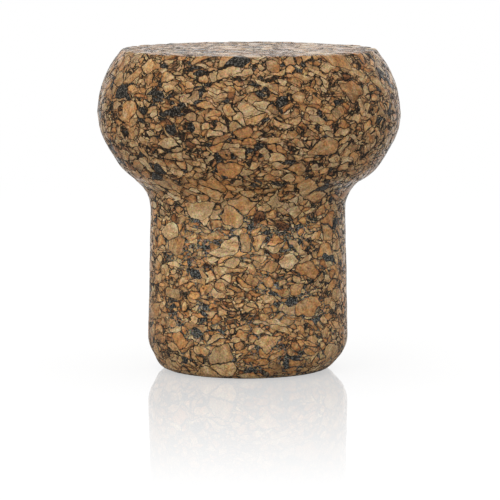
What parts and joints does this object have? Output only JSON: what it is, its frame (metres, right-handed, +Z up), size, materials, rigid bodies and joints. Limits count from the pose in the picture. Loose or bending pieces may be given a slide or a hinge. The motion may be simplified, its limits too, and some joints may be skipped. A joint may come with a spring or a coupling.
{
  "type": "t-shaped cork stopper",
  "caption": "Mushroom-shaped bottle stopper in one piece of agglomerated cork: a straight shank with a bevelled end under a wide, rounded, flat-topped head.",
  "frame": {"origin": "centre of the narrow end face, on which the stopper stands", "axes": "+Z up along the stopper's axis, from the shank to the head; X and Y are alike, because the part is turned about Z"},
  "size_m": [0.0304, 0.0304, 0.0322],
  "materials": {
    "cork": "ground smooth, satin"
  },
  "bodies": {
    "root": {"cork_stopper": "cork"}
  },
  "joints": []
}
